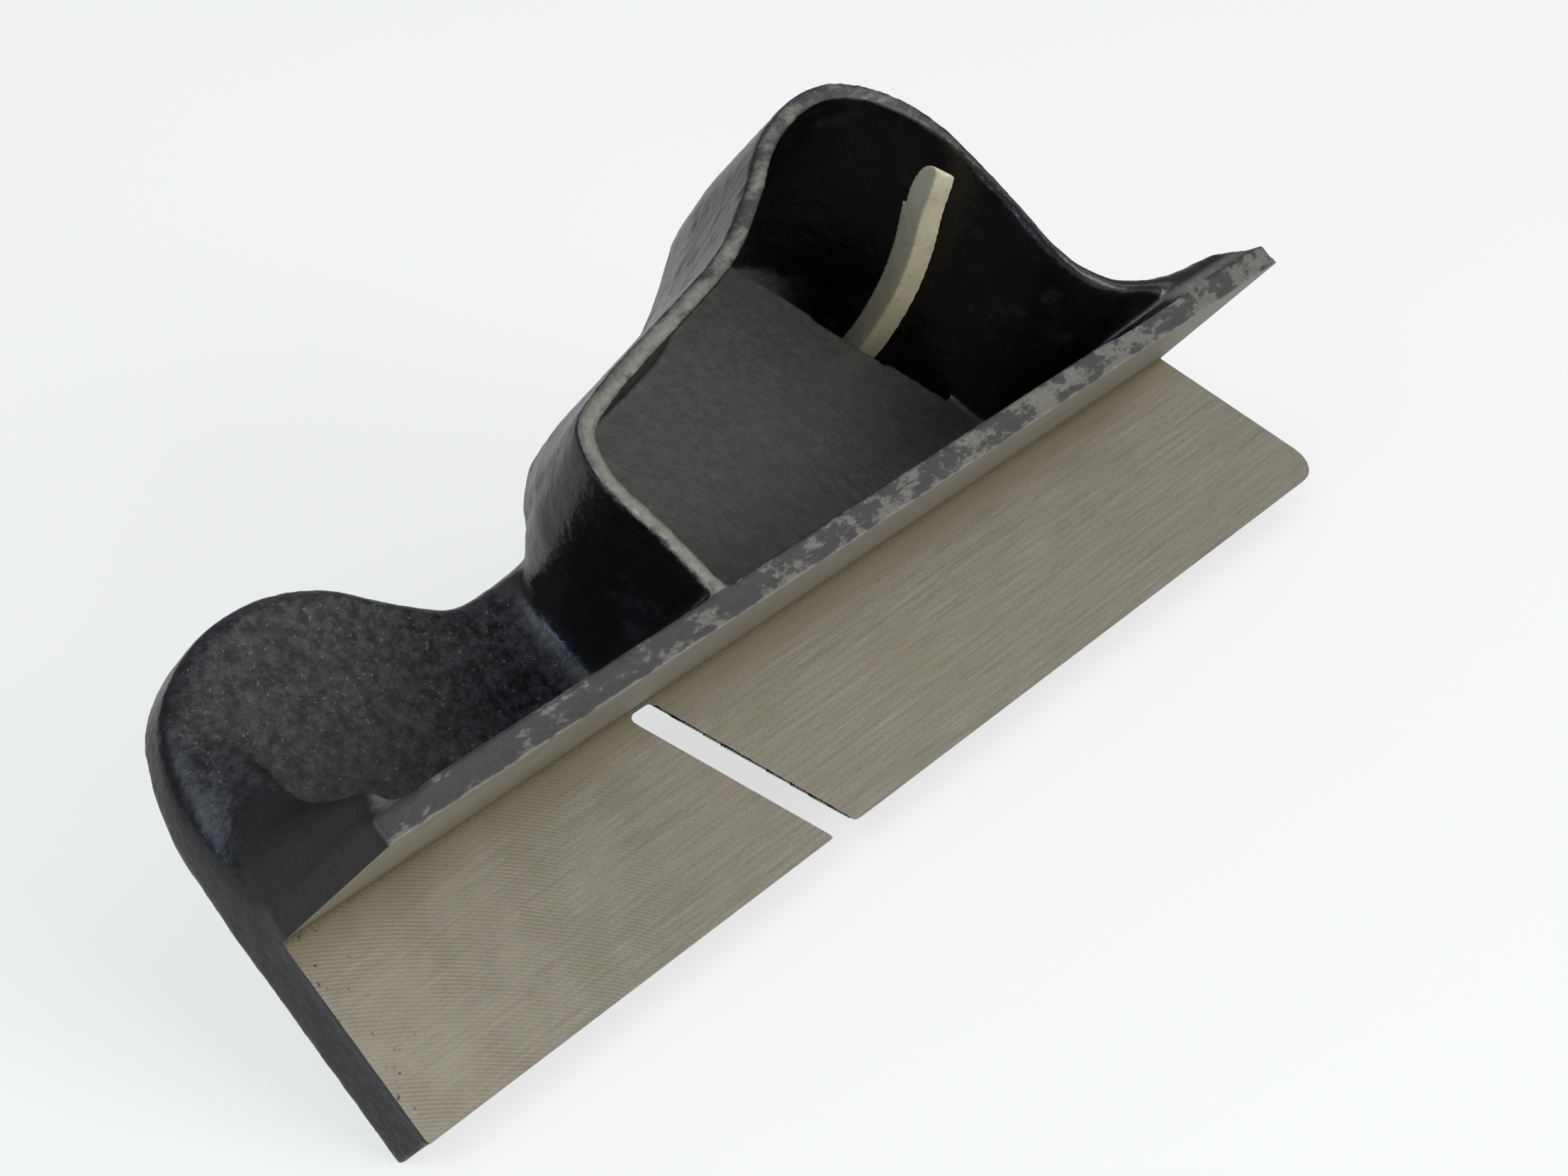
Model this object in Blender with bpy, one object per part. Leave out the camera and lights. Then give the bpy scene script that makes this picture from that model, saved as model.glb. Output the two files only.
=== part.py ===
"""Edge trimming plane, lying on its back with its sole up.

A cast body carries a sole and a fence at a right angle. A cutter lies askew on a low bed
behind the sole, held by a lever cap with a thumb screw, and is fed by a swinging lever
whose tail stands up in the hollow of the palm grip.

Body frame: X runs from toe to heel along the inner corner of sole and fence, Y from that
corner towards the grip, Z out of the sole. Cutter frame: X runs back along the bed, Y along
the mouth towards the free edge, Z away from the bed. All lengths are in metres.
"""
import math

import bmesh
import bpy
from mathutils import Matrix, Vector

# Sole and fence
FENCE_LENGTH = 0.1524
FENCE_HEIGHT = 0.0235
FENCE_THICKNESS = 0.0032
SOLE_WIDTH = 0.0231
SOLE_THICKNESS = 0.0068
HEEL_SKEW = math.radians(28.5)
HEEL_CORNER = 0.0045

# Mouth and bed
MOUTH_SKEW = math.radians(30.0)
MOUTH_FROM_TOE = 0.0486
MOUTH_GAP = 0.0033
MOUTH_LIP = 0.0002
BED_ANGLE = math.radians(12.0)
BED_THICKNESS = 0.0103
BED_LENGTH = 0.0632
CHANNEL_OPEN = 0.0110

# Finger rest at the toe, as points that its outline bends through
REST_OUTLINE = [(0.0000, 0.0018), (0.0000, 0.0090), (0.0006, 0.0165), (0.0047, 0.0246), (0.0123, 0.0290),
                (0.0206, 0.0299), (0.0284, 0.0276), (0.0346, 0.0227), (0.0398, 0.0194), (0.0460, 0.0191),
                (0.0560, 0.0200)]
REST_DROP = 0.0003
REST_EDGE = 0.0012
REST_EDGE_START = 0.0110

# Toe web, as points that it bends through: place across, crest height, front at the foot and at the crest
TOE_WEB = [(0.0030, 0.0230, 0.0003, 0.0019), (0.0053, 0.0215, 0.0005, 0.0027),
           (0.0067, 0.0170, 0.0006, 0.0031), (0.0085, 0.0110, 0.0008, 0.0040),
           (0.0107, 0.0070, 0.0010, 0.0050), (0.0148, 0.0030, 0.0015, 0.0060),
           (0.0176, 0.0010, 0.0021, 0.0056), (0.0190, -0.0001, 0.0026, 0.0046)]
TOE_WEB_TOP = 0.0016
TOE_WEB_FOOT = 0.0036

# Palm grip, as points that the outer edge of its rim bends through
GRIP_OUTLINE = [(0.0482, 0.0020), (0.0466, 0.0110), (0.0449, 0.0182), (0.0464, 0.0242), (0.0523, 0.0270),
                (0.0652, 0.0302), (0.0777, 0.0335), (0.0866, 0.0382), (0.0945, 0.0430), (0.1046, 0.0449),
                (0.1131, 0.0414), (0.1192, 0.0333), (0.1218, 0.0230), (0.1231, 0.0150), (0.1264, 0.0101),
                (0.1303, 0.0079), (0.1370, 0.0062), (0.1450, 0.0053), (0.1490, 0.0044), (0.1514, 0.0031)]
GRIP_HOLLOW_END = 16
GRIP_RAMP_SHARE = 0.70
GRIP_RAMP_FROM = 0.1205
GRIP_WALL = 0.0023
GRIP_DOME_TOP = 0.0095
GRIP_DOME_DEPTH = 0.0235
GRIP_DOME_CENTRE = 0.1180
GRIP_DOME_DRAW_X = 0.40
GRIP_DOME_DRAW_Y = 0.36
GRIP_FLOOR = 0.0105
GRIP_FLOOR_SKIN = 0.0030
NOSE_LEAN = (0.0042, -0.0022)
NOSE_LEAN_FADE = 0.0100
NOSE_CORNER_KNOT = 3
NOSE_FLARE_KNOTS = 5
NOSE_EMBED = 0.0012
NOSE_FLARE = ((0.0085, -0.0004), (0.0050, 0.0002), (0.0024, 0.0010), (0.0008, 0.0022), (-0.0006, 0.0042),
              (-0.0040, 0.0042))
NOSE_FLARE_END = 0.0215
NOSE_FLARE_FADE = 0.0120
HEEL_DROP = 0.0016
HEEL_DROP_START = 0.1262

# Cutter
CUTTER_WIDTH = 0.0260
CUTTER_THICKNESS = 0.0030
CUTTER_LENGTH = 0.0765
CUTTER_BEVEL = math.radians(25.0)
CUTTER_EDGE = -0.0002
CUTTER_SLOT_WIDTH = 0.0090
CUTTER_SLOT = (0.0220, 0.0580)
CUTTER_GROOVE_WIDTH = 0.0030
CUTTER_GROOVE_LENGTH = 0.0054
CUTTER_GROOVE_DEPTH = 0.0018
CUTTER_CORNER = 0.0030

# Lever cap and its screws
CAP_FRONT = 0.0160
CAP_BACK = 0.0660
CAP_FRONT_WIDTH = 0.0220
CAP_BACK_WIDTH = 0.0150
CAP_THICKNESS = 0.0036
CAP_LIP_LENGTH = 0.0030
CAP_LIP_HEIGHT = 0.0012
CAP_TRAVEL = 0.0090
FULCRUM_AT = 0.0340
FULCRUM_SHANK = 0.0025
FULCRUM_DEPTH = 0.0080
FULCRUM_HEAD = 0.0055
FULCRUM_HEAD_HEIGHT = 0.0028
SCREW_SLOT_WIDTH = 0.0012
SCREW_SLOT_DEPTH = 0.0013
THUMB_AT = 0.0580
THUMB_SHANK = 0.0030
THUMB_BOSS = 0.0068
THUMB_BOSS_HEIGHT = 0.0034
THUMB_KNOB = 0.0085
THUMB_KNOB_HEIGHT = 0.0085
THUMB_NECK = 0.0016
THUMB_FLUTES = 24
THUMB_FLUTE_DEPTH = 0.0006
THUMB_EDGE = 0.0011

# Adjusting lever, its pivot and its drive pin
PIVOT_AT = 0.0460
PIVOT_SHANK = 0.0018
PIVOT_DEPTH = 0.0085
PIVOT_HEAD = 0.0034
PIVOT_HEAD_HEIGHT = 0.0016
WASHER_RADIUS = 0.0040
WASHER_THICKNESS = 0.0006
LEVER_THICKNESS = 0.0032
LEVER_EYE = 0.0058
LEVER_ARM_WIDTH = 0.0064
LEVER_TAIL_WIDTH = 0.0060
DRIVE_PIN_OUT = 0.0095
DRIVE_PIN = 0.0012
TAIL_SIDE = 0.0032
TAIL_DEPTH_FOOT = 0.0033
TAIL_DEPTH_TIP = 0.0040
TAIL_TURN_FOOT = math.radians(24.0)
TAIL_TURN_TIP = math.radians(46.0)
# Tail: how far behind the mouth, along the mouth and out of the sole, level with the sole
TAIL_PATH = [(0.0665, 0.0002, -0.0120), (0.0665, -0.0002, -0.0043), (0.0666, -0.0019, 0.0044),
             (0.0668, -0.0042, 0.0115), (0.0670, -0.0070, 0.0178), (0.0672, -0.0087, 0.0222),
             (0.0674, -0.0102, 0.0252)]
TAIL_TIP_ROUND = 0.0080
TAIL_TIP_SLANT = 0.0028
TAIL_TIP_STEPS = 8
TAIL_SLOT_BACK = (0.0633, 0.0694)
TAIL_SLOT_ALONG = (-0.0080, 0.0030)
TAIL_SLOT_TOP = -0.0020
LEVER_SWING_BACK = math.radians(1.0)
LEVER_SWING_FEED = math.radians(14.0)

# Clearances
BED_CLEARANCE = 0.00015
SLIDE_CLEARANCE = 0.0003
THREAD_CLEARANCE = 0.0002
OVERCUT = 0.0040
EMBED = 0.0010
MERGE = 0.00001

# Facets
CURVE_STEPS = 4
ROUND_STEPS = 32
SMALL_ROUND_STEPS = 20
DOME_STEPS = 5
RAMP_STEPS = 5
FLUTE_POINTS = 4

FINISHES = {
    "japanned_iron": ((0.018, 0.018, 0.020), 0.32, 0.0),
    "tool_steel": ((0.36, 0.36, 0.33), 0.36, 1.0),
    "nickel_plate": ((0.56, 0.54, 0.47), 0.28, 1.0),
    "blued_steel": ((0.10, 0.11, 0.13), 0.35, 1.0),
    "brass": ((0.58, 0.42, 0.18), 0.30, 1.0),
}


def clear_scene():
    """Empty the scene, so the script always starts from nothing."""
    for item in list(bpy.data.objects):
        bpy.data.objects.remove(item, do_unlink=True)


def finish(name):
    """The Principled material of one finish, made once."""
    material = bpy.data.materials.get(name) or bpy.data.materials.new(name)
    colour, roughness, metallic = FINISHES[name]
    material.use_nodes = True
    shader = material.node_tree.nodes["Principled BSDF"]
    shader.inputs["Base Color"].default_value = (*colour, 1.0)
    shader.inputs["Roughness"].default_value = roughness
    shader.inputs["Metallic"].default_value = metallic
    material.diffuse_color = (*colour, 1.0)
    return material


def add_object(name, mesh_maker, parent, finish_name=None):
    """One object from a filled bmesh; without a finish it is a hidden tool for cutting or joining."""
    mesh = bpy.data.meshes.new(name)
    bmesh.ops.recalc_face_normals(mesh_maker, faces=mesh_maker.faces)
    mesh_maker.to_mesh(mesh)
    mesh_maker.free()
    item = bpy.data.objects.new(name, mesh)
    bpy.context.scene.collection.objects.link(item)
    item.parent = parent
    if finish_name:
        mesh.materials.append(finish(finish_name))
        mesh.shade_smooth()
        mesh.set_sharp_from_angle(angle=math.radians(35.0))
    else:
        item.hide_render = True
        item.display_type = "WIRE"
    return item


def combine(item, tool, operation):
    """A live Boolean of one object with a hidden tool."""
    modifier = item.modifiers.new(f"{operation.lower()}_{tool.name}", "BOOLEAN")
    modifier.operation = operation
    modifier.object = tool
    modifier.solver = "EXACT"


def join_seams(item):
    """Merge points that a Boolean left closer together than any real feature."""
    modifier = item.modifiers.new("join_seams", "WELD")
    modifier.merge_threshold = MERGE


def add_empty(name, matrix, parent=None):
    """A frame that pieces hang on."""
    empty = bpy.data.objects.new(name, None)
    bpy.context.scene.collection.objects.link(empty)
    empty.empty_display_size = FENCE_THICKNESS
    empty.parent = parent
    empty.matrix_local = matrix
    return empty


def bend_through(points, steps=CURVE_STEPS):
    """A smooth open path through the given points, a Catmull-Rom spline."""
    knots = [Vector(point) for point in points]
    ends = [knots[0] * 2 - knots[1]] + knots + [knots[-1] * 2 - knots[-2]]
    path = []
    for before, start, end, after in zip(ends, ends[1:], ends[2:], ends[3:]):
        for step in range(steps):
            t = step / steps
            square = 2 * before - 5 * start + 4 * end - after
            cube = 3 * start - before - 3 * end + after
            path.append(0.5 * (2 * start + (end - before) * t + square * t**2 + cube * t**3))
    return path + [knots[-1]]


def move_inwards(path, distance):
    """An open plan path moved to its right-hand side, which is the inside of the body's outlines."""
    moved = []
    for index, point in enumerate(path):
        along = path[min(index + 1, len(path) - 1)] - path[max(index - 1, 0)]
        along.normalize()
        moved.append(point + Vector((along.y, -along.x)) * distance)
    return moved


def circle(radius, centre=(0.0, 0.0), steps=ROUND_STEPS):
    """A round outline."""
    turn = 2 * math.pi / steps
    return [Vector((centre[0] + radius * math.cos(k * turn), centre[1] + radius * math.sin(k * turn)))
            for k in range(steps)]


def loft(rings):
    """A closed body through rings of as many points each, flat at both ends."""
    shape = bmesh.new()
    loops = [[shape.verts.new(point) for point in ring] for ring in rings]
    for lower, upper in zip(loops, loops[1:]):
        for k in range(len(lower)):
            after = (k + 1) % len(lower)
            shape.faces.new((lower[k], lower[after], upper[after], upper[k]))
    bmesh.ops.triangulate(shape, faces=shape.faces)
    shape.faces.new(loops[0][::-1])
    shape.faces.new(loops[-1])
    return shape


def prism(outline, low, high):
    """An outline raised straight up from one height to another."""
    return loft([[(point[0], point[1], height) for point in outline] for height in (low, high)])


def block(x_range, y_range, z_range):
    """A box between two limits on each axis."""
    (x0, x1), (y0, y1) = x_range, y_range
    return prism([(x0, y0), (x1, y0), (x1, y1), (x0, y1)], *z_range)


def rounded_slot(start, end, width, steps=SMALL_ROUND_STEPS):
    """The outline of a slot along X with round ends, its ends' centres half a width inside."""
    radius = width / 2
    half = steps // 2
    outline = []
    for centre, first in ((end - radius, -0.5), (start + radius, 0.5)):
        for k in range(half + 1):
            angle = math.pi * (first + k / half)
            outline.append((centre + radius * math.cos(angle), radius * math.sin(angle)))
    return outline


# Derived places

def mouth_corner():
    """Where the rear edge of the mouth meets the fence, in the body frame."""
    return Vector((MOUTH_FROM_TOE + MOUTH_GAP / math.cos(MOUTH_SKEW), 0.0, 0.0))


def mouth_centre():
    """The middle of the mouth's rear edge."""
    half = SOLE_WIDTH / 2
    return mouth_corner() + Vector((half * math.tan(MOUTH_SKEW), -half, 0.0))


def bed_axes():
    """The cutter frame's axes in the body frame: back along the bed, along the mouth, off the bed."""
    back = Vector((math.cos(MOUTH_SKEW) * math.cos(BED_ANGLE), math.sin(MOUTH_SKEW) * math.cos(BED_ANGLE),
                   -math.sin(BED_ANGLE)))
    along = Vector((math.sin(MOUTH_SKEW), -math.cos(MOUTH_SKEW), 0.0))
    return back, along, back.cross(along)


def bed_matrix():
    """The cutter frame, with its origin at the middle of the mouth's rear edge, on the bed."""
    axes = bed_axes()
    place = mouth_centre() - Vector((0.0, 0.0, MOUTH_LIP))
    return Matrix.Translation(place) @ Matrix(axes).transposed().to_4x4()


def cap_underside():
    """Height of the lever cap's arched underside over the bed."""
    return BED_CLEARANCE + CUTTER_THICKNESS + SLIDE_CLEARANCE + CAP_LIP_HEIGHT


def cap_top():
    return cap_underside() + CAP_THICKNESS


def thumb_boss_top():
    return cap_top() + THUMB_BOSS_HEIGHT


def knob_range():
    """Heights of the thumb screw's knob over the bed."""
    low = thumb_boss_top() + THUMB_NECK
    return low, low + THUMB_KNOB_HEIGHT


def rest_tilt():
    """The tilt about X at which the sole's free edge and the thumb knob both touch a level table."""
    bed = bed_matrix()
    knob_face = bed @ Vector((THUMB_AT, 0.0, knob_range()[1]))
    off_bed = bed_axes()[2]
    low, high = 0.0, math.radians(80.0)
    for _ in range(60):
        tilt = (low + high) / 2
        up = Vector((0.0, math.sin(tilt), math.cos(tilt)))
        sole_edge = -SOLE_WIDTH * up.y - SOLE_THICKNESS * up.z
        knob_edge = knob_face.dot(up) - (THUMB_KNOB - THUMB_EDGE) * math.sqrt(1.0 - off_bed.dot(up) ** 2)
        if knob_edge < sole_edge:
            low = tilt
        else:
            high = tilt
    return tilt


# Body

def sole_and_fence():
    """The angle of sole and fence, its sole ending askew at the heel."""
    heel = FENCE_LENGTH + SOLE_WIDTH * math.tan(HEEL_SKEW)
    foot, rim, back = -SOLE_THICKNESS, FENCE_HEIGHT, FENCE_THICKNESS
    shape = bmesh.new()
    section = {"edge_foot": (-SOLE_WIDTH, foot), "edge": (-SOLE_WIDTH, 0.0), "corner": (0.0, 0.0),
               "rim": (0.0, rim), "rim_back": (back, rim), "back_foot": (back, foot)}
    toe = {name: shape.verts.new((0.0, *place)) for name, place in section.items()}
    end = {name: shape.verts.new((heel if place[0] < 0 else FENCE_LENGTH, *place))
           for name, place in section.items()}
    end["corner_foot"] = shape.verts.new((FENCE_LENGTH, 0.0, foot))
    names = list(section)
    shape.faces.new([toe[name] for name in names])
    for name, after in zip(names, names[1:]):
        shape.faces.new((toe[name], end[name], end[after], toe[after]))
    shape.faces.new((toe["back_foot"], end["back_foot"], end["corner_foot"], end["edge_foot"],
                     toe["edge_foot"]))
    shape.faces.new([end[name] for name in ("edge_foot", "edge", "corner", "corner_foot")])
    shape.faces.new([end[name] for name in ("corner_foot", "corner", "rim", "rim_back", "back_foot")])
    heel_edge = shape.edges.get((end["edge_foot"], end["edge"]))
    bmesh.ops.bevel(shape, geom=[heel_edge], offset=HEEL_CORNER, segments=5, profile=0.5, affect="EDGES")
    return shape


def finger_rest():
    """The flat rounded plate at the toe, flush with the sole's end and eased round its free edge."""
    path = bend_through(REST_OUTLINE)
    close = [Vector((REST_OUTLINE[-1][0], REST_OUTLINE[0][1]))]
    low, high = -SOLE_THICKNESS, -REST_DROP
    rings = []
    for height, inset in ((low, REST_EDGE), (low + REST_EDGE, 0.0), (high - REST_EDGE, 0.0),
                          (high, REST_EDGE)):
        ring = []
        for point, eased in zip(path + close, move_inwards(path, inset) + close):
            share = min(max((point.y - REST_EDGE_START) / (REST_EDGE_START / 2), 0.0), 1.0)
            place = point.lerp(eased, share)
            ring.append((place.x, place.y, height))
        rings.append(ring)
    return loft(rings)


def toe_web():
    """The web that runs from the fence's toe end down to the finger rest, leaning back from the toe."""
    low, foot = -SOLE_THICKNESS / 2, -REST_DROP
    rings = []
    for across, crest, front, back in bend_through(TOE_WEB):
        high = min(crest, FENCE_HEIGHT - EMBED)
        profile = ((front, low), (front, foot), (back, high), (back + TOE_WEB_TOP, high),
                   (back + TOE_WEB_FOOT, foot), (back + TOE_WEB_FOOT, low))
        rings.append([(x, across, z) for x, z in profile])
    return loft(rings)


def heel_drop():
    """What is cut away where the grip's rim drops behind the fence, towards the heel."""
    start, end = HEEL_DROP_START, FENCE_LENGTH + OVERCUT
    slope = HEEL_DROP / (end - start)
    over = FENCE_HEIGHT + OVERCUT
    profile = [(start - OVERCUT / slope, over), (end, FENCE_HEIGHT - HEEL_DROP), (end, over)]
    return loft([[(x, y, z) for x, z in profile] for y in (FENCE_THICKNESS, FENCE_THICKNESS + SOLE_WIDTH)])


def dome_draw(height):
    """How far the dome has drawn in at a height, from none at its top to nearly one at its back."""
    sine = min(max((GRIP_DOME_TOP - height) / GRIP_DOME_DEPTH, 0.0), 0.995)
    return 1.0 - math.sqrt(1.0 - sine ** 2)


def lean_nose(outline, height):
    """An outline of the grip with its nose corner leaned back, more so the further below the rim."""
    corner = Vector(GRIP_OUTLINE[NOSE_CORNER_KNOT])
    below_rim = min(max(1.0 - height / FENCE_HEIGHT, 0.0), 1.0)
    return [point + Vector(NOSE_LEAN) * below_rim * max(1.0 - (point - corner).length / NOSE_LEAN_FADE, 0.0)
            for point in outline]


def drawn_ring(outline, base, height, drawn):
    """An outline of the grip at a height: its nose corner leans back, its dome draws in to a base line."""
    return [(point.x + (GRIP_DOME_CENTRE - point.x) * GRIP_DOME_DRAW_X * drawn,
             base + (point.y - base) * (1.0 - GRIP_DOME_DRAW_Y * drawn), height)
            for point in lean_nose(outline, height)]


def grip_mass():
    """The palm grip as a solid, its back drawn in to a dome."""
    inside_fence = FENCE_THICKNESS - EMBED
    outline = bend_through(GRIP_OUTLINE)
    outline += [Vector((GRIP_OUTLINE[-1][0], inside_fence)), Vector((GRIP_OUTLINE[0][0], inside_fence))]
    heights = [FENCE_HEIGHT, (FENCE_HEIGHT + GRIP_DOME_TOP) / 2]
    heights += [GRIP_DOME_TOP - GRIP_DOME_DEPTH * math.sin(math.radians(84.0) * step / DOME_STEPS)
                for step in range(DOME_STEPS + 1)]
    return loft([drawn_ring(outline, inside_fence, height, dome_draw(height)) for height in heights])


def grip_hollow():
    """The hollow of the grip, closed by the fence's back. Its heel end ramps up and runs out as a trough."""
    path = move_inwards(bend_through(GRIP_OUTLINE[:GRIP_HOLLOW_END + 1]), GRIP_WALL)
    back = FENCE_THICKNESS
    outline = [point for point in path if point.y > back]
    outline += [Vector((outline[-1].x, back)), Vector((outline[0].x, back))]
    top = GRIP_DOME_TOP + GRIP_FLOOR_SKIN
    heights = [FENCE_HEIGHT + OVERCUT]
    ramp_steps = [FENCE_HEIGHT + (top - FENCE_HEIGHT) * step / RAMP_STEPS for step in range(1, RAMP_STEPS)]
    heights += ramp_steps
    heights += [top + (-GRIP_FLOOR - top) * step / DOME_STEPS for step in range(DOME_STEPS + 1)]
    rings = []
    for height in heights:
        share = min(max((FENCE_HEIGHT - height) / (FENCE_HEIGHT + GRIP_FLOOR), 0.0), 1.0)
        ramp = 1.0 - GRIP_RAMP_SHARE * (1.0 - (1.0 - share) ** 4)
        ring = drawn_ring(outline, back, height, dome_draw(height - GRIP_FLOOR_SKIN))
        rings.append([(x if x < GRIP_RAMP_FROM else GRIP_RAMP_FROM + (x - GRIP_RAMP_FROM) * ramp, y, z)
                      for x, y, z in ring])
    return loft(rings)


def nose_flare():
    """The sweep at the foot of the grip's nose, where it runs out onto the finger rest."""
    foot = bend_through(GRIP_OUTLINE[:NOSE_FLARE_KNOTS], CURVE_STEPS - 1)
    inside_fence = FENCE_THICKNESS - EMBED
    close = Vector((GRIP_OUTLINE[NOSE_FLARE_KNOTS][0], GRIP_OUTLINE[0][1]))
    rings = []
    for height, flare in NOSE_FLARE:
        path = [Vector(place[:2]) for place in drawn_ring(foot, inside_fence, height, dome_draw(height))]
        ring = []
        for point, inside, outside in zip(foot, move_inwards(path, NOSE_EMBED), move_inwards(path, -flare)):
            fade = min(max((NOSE_FLARE_END - point.y) / NOSE_FLARE_FADE, 0.0), 1.0)
            ring.append((*inside.lerp(outside, fade), height))
        rings.append(ring + [(*close, height)])
    return loft(rings)


def mouth_cut():
    """The slit of the mouth, from the fence out through the free edge."""
    rear = mouth_corner().x
    reach = SOLE_WIDTH + OVERCUT
    lean = reach * math.tan(MOUTH_SKEW)
    outline = [(MOUTH_FROM_TOE, 0.0), (MOUTH_FROM_TOE + lean, -reach), (rear + lean, -reach), (rear, 0.0)]
    return prism(outline, -SOLE_THICKNESS - OVERCUT, OVERCUT)


def tail_slot():
    """The upright slot behind the bed that the lever's tail stands and swings in."""
    centre = mouth_centre()
    back = Vector((math.cos(MOUTH_SKEW), math.sin(MOUTH_SKEW)))
    along = Vector((math.sin(MOUTH_SKEW), -math.cos(MOUTH_SKEW)))
    (near, far), (first, last) = TAIL_SLOT_BACK, TAIL_SLOT_ALONG
    corners = ((near, first), (far, first), (far, last), (near, last))
    outline = [centre.xy + back * x + along * y for x, y in corners]
    return prism(outline, -GRIP_FLOOR - OVERCUT, TAIL_SLOT_TOP)


def build_body(root, bed):
    """The casting: sole, fence, finger rest and grip, with the bed and what is cut for the pieces on it."""
    body = add_object("body_casting", sole_and_fence(), root, "japanned_iron")
    for name, shape in (("rest_tool", finger_rest()), ("toe_web_tool", toe_web()),
                        ("grip_tool", grip_mass()), ("nose_tool", nose_flare())):
        combine(body, add_object(name, shape, root), "UNION")
    join_seams(body)
    combine(body, add_object("heel_drop_tool", heel_drop(), root), "DIFFERENCE")

    hollow = add_object("hollow_tool", grip_hollow(), root)
    reach = FENCE_LENGTH
    bed_slab = block((-reach, BED_LENGTH), (-reach, reach), (-BED_THICKNESS, reach))
    combine(hollow, add_object("bed_slab_tool", bed_slab, bed), "DIFFERENCE")
    combine(body, hollow, "DIFFERENCE")
    join_seams(body)

    channel_half = CUTTER_WIDTH / 2 + SLIDE_CLEARANCE
    channel = block((-MOUTH_GAP, reach), (-channel_half, channel_half), (0.0, reach / 2))
    channel_mouth = block((-MOUTH_GAP, CHANNEL_OPEN), (channel_half - EMBED, reach), (0.0, reach / 2))
    tail_end = level_to_bed(*TAIL_PATH[0]).x + TAIL_DEPTH_FOOT / 2 + SLIDE_CLEARANCE
    tail_half = LEVER_TAIL_WIDTH / 2 + SLIDE_CLEARANCE
    feed_room = tail_half + (tail_end - PIVOT_AT) * math.sin(LEVER_SWING_FEED)
    back_room = tail_half + (tail_end - PIVOT_AT) * math.sin(LEVER_SWING_BACK)
    pocket_floor = -BED_CLEARANCE - LEVER_THICKNESS - SLIDE_CLEARANCE
    eye_room = LEVER_EYE + SLIDE_CLEARANCE
    arm_room = math.hypot(DRIVE_PIN_OUT + 2 * DRIVE_PIN, LEVER_ARM_WIDTH / 2) + SLIDE_CLEARANCE
    pocket_start, pocket_neck = PIVOT_AT - eye_room, PIVOT_AT + eye_room
    pocket_end = tail_end + SLIDE_CLEARANCE
    pocket = prism([(pocket_start, -arm_room), (pocket_neck, -arm_room), (pocket_neck, -feed_room),
                    (pocket_end, -feed_room), (pocket_end, back_room), (pocket_neck, back_room),
                    (pocket_neck, eye_room), (pocket_start, eye_room)], pocket_floor, EMBED)
    fulcrum_hole = prism(circle(FULCRUM_SHANK + THREAD_CLEARANCE, (FULCRUM_AT, 0.0)),
                         -FULCRUM_DEPTH - THREAD_CLEARANCE, EMBED)
    pivot_hole = prism(circle(PIVOT_SHANK + THREAD_CLEARANCE, (PIVOT_AT, 0.0), SMALL_ROUND_STEPS),
                       -PIVOT_DEPTH - THREAD_CLEARANCE, EMBED)
    cuts = (("channel_tool", channel), ("channel_mouth_tool", channel_mouth), ("lever_pocket_tool", pocket),
            ("fulcrum_hole_tool", fulcrum_hole), ("pivot_hole_tool", pivot_hole))
    combine(body, add_object("mouth_tool", mouth_cut(), root), "DIFFERENCE")
    combine(body, add_object("tail_slot_tool", tail_slot(), root), "DIFFERENCE")
    for name, shape in cuts:
        combine(body, add_object(name, shape, bed), "DIFFERENCE")
    join_seams(body)


# Cutter

def build_cutter(bed):
    """The cutter, ground with its bevel up, slotted for the fulcrum screw and grooved for the drive pin."""
    low, high = BED_CLEARANCE, BED_CLEARANCE + CUTTER_THICKNESS
    back = CUTTER_EDGE + CUTTER_LENGTH
    bevel_back = CUTTER_EDGE + CUTTER_THICKNESS / math.tan(CUTTER_BEVEL)
    half = CUTTER_WIDTH / 2
    tail = [(back - CUTTER_CORNER, half), (back, half - CUTTER_CORNER), (back, -half + CUTTER_CORNER),
            (back - CUTTER_CORNER, -half)]
    shape = loft([[(x, y, low) for x, y in [(CUTTER_EDGE, -half), (CUTTER_EDGE, half)] + tail],
                  [(x, y, high) for x, y in [(bevel_back, -half), (bevel_back, half)] + tail]])
    cutter = add_object("cutter", shape, bed, "tool_steel")
    slot = prism(rounded_slot(*CUTTER_SLOT, CUTTER_SLOT_WIDTH), low - OVERCUT, high + OVERCUT)
    groove_half = CUTTER_GROOVE_WIDTH / 2
    groove = block((PIVOT_AT - groove_half, PIVOT_AT + groove_half),
                   (-DRIVE_PIN_OUT - CUTTER_GROOVE_LENGTH / 2, -DRIVE_PIN_OUT + CUTTER_GROOVE_LENGTH / 2),
                   (low - OVERCUT, low + CUTTER_GROOVE_DEPTH))
    combine(cutter, add_object("cutter_slot_tool", slot, bed), "DIFFERENCE")
    combine(cutter, add_object("cutter_groove_tool", groove, bed), "DIFFERENCE")


# Lever cap and screws

def screw_body(shank_radius, shank_low, head_radius, head_low, head_high, steps):
    """A turned screw: shank and flat head on one axis, the head's top edge eased."""
    ease = (head_high - head_low) / 4
    profile = [(shank_radius, shank_low), (shank_radius, head_low), (head_radius, head_low),
               (head_radius, head_high - ease), (head_radius - ease, head_high)]
    return loft([[(point.x, point.y, height) for point in circle(radius, steps=steps)]
                 for radius, height in profile])


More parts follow.
